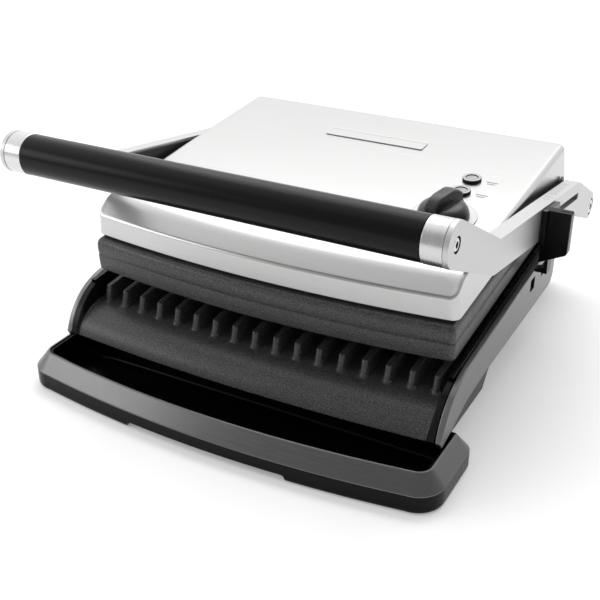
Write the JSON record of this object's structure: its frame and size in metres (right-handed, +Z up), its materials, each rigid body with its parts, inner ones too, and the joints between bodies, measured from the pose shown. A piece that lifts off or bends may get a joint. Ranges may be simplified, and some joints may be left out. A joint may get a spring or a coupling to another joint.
{
  "type": "panini press",
  "caption": "Contact grill with a ribbed lower plate, floating upper plate under a steel cover, lift arms with a bar handle, height lock, heat dial and a pull-out drip tray.",
  "frame": {"origin": "on the table plane under the feet, at the middle of the whole press's footprint with the height lock's tab and the grip included; the arms' mirror plane is 9 mm to the left of it", "axes": "+X to the press's right as a person in front of it sees it, +Y to the back, where the arms are hinged, +Z up"},
  "size_m": [0.3828, 0.4243, 0.2167],
  "materials": {
    "cover_steel": "fine brushed across the width",
    "brushed_silver": "brushed",
    "arm_silver": "bead-blasted satin",
    "gunmetal": "dark brushed",
    "bright_steel": "polished screw head",
    "dark_steel": "blackened",
    "nonstick": "cast, speckled black nonstick coating",
    "heater_sheath": "dull sheath",
    "galvanised_sheet": "zinc plated",
    "black_plastic": "moulded",
    "gloss_black": "gloss",
    "satin_black": "satin soft-touch",
    "foot_rubber": "matte",
    "lamp_lens": "translucent, unlit"
  },
  "bodies": {
    "base": {"base_housing": "black_plastic", "side_band_left": "brushed_silver", "side_band_right": "brushed_silver", "lower_plate": "nonstick", "lower_element": "heater_sheath", "lower_reflector": "galvanised_sheet", "hinge_bracket_left": "galvanised_sheet", "hinge_bracket_right": "galvanised_sheet", "pivot_bolt_left": "bright_steel", "pivot_bolt_right": "bright_steel", "foot_front_left": "foot_rubber", "foot_front_right": "foot_rubber", "foot_rear_left": "foot_rubber", "foot_rear_right": "foot_rubber", "cord_inlet": "satin_black"},
    "tray": {"tray_basin": "gloss_black", "tray_bezel": "gunmetal"},
    "arms": {"arm_left": "arm_silver", "arm_right": "arm_silver", "arm_liner_left": "black_plastic", "arm_liner_right": "black_plastic", "grip": "satin_black", "grip_rod": "galvanised_sheet", "grip_collar_left": "brushed_silver", "grip_collar_right": "brushed_silver", "grip_screw_left": "bright_steel", "grip_screw_right": "bright_steel"},
    "height_lock": {"height_slider": "gloss_black"},
    "lid": {"lid_cover": "cover_steel", "lid_frame": "black_plastic", "lid_hinge_left": "dark_steel", "lid_hinge_right": "dark_steel", "upper_plate": "nonstick", "upper_element": "heater_sheath", "thermostat": "galvanised_sheet", "dial_bezel": "brushed_silver", "lamp_ring_power": "gunmetal", "lamp_ring_ready": "gunmetal", "lamp_lens_power": "lamp_lens", "lamp_lens_ready": "lamp_lens", "badge_plate": "cover_steel"},
    "dial": {"dial_knob": "gloss_black"}
  },
  "joints": [
    {"name": "arms_hinge", "type": "hinge", "parent": "base", "child": "arms", "pos_m": [-0.009, 0.1864, 0.0905], "axis": [-1, 0, 0], "range_deg": [0, 100]},
    {"name": "lid_float", "type": "hinge", "parent": "arms", "child": "lid", "pos_m": [-0.009, 0.1264, 0.1322], "axis": [-1, 0, 0], "range_deg": [0, 14]},
    {"name": "height_slide", "type": "slide", "parent": "arms", "child": "height_lock", "axis": [0, 0.9885, -0.1513], "range_m": [0, 0.045]},
    {"name": "dial_turn", "type": "hinge", "parent": "lid", "child": "dial", "pos_m": [0.1028, -0.02854, 0.14886], "axis": [0, -0.0802, 0.9968], "range_deg": [-150, 120]},
    {"name": "tray_slide", "type": "slide", "parent": "base", "child": "tray", "axis": [0, -1, 0], "range_m": [0, 0.1]}
  ]
}
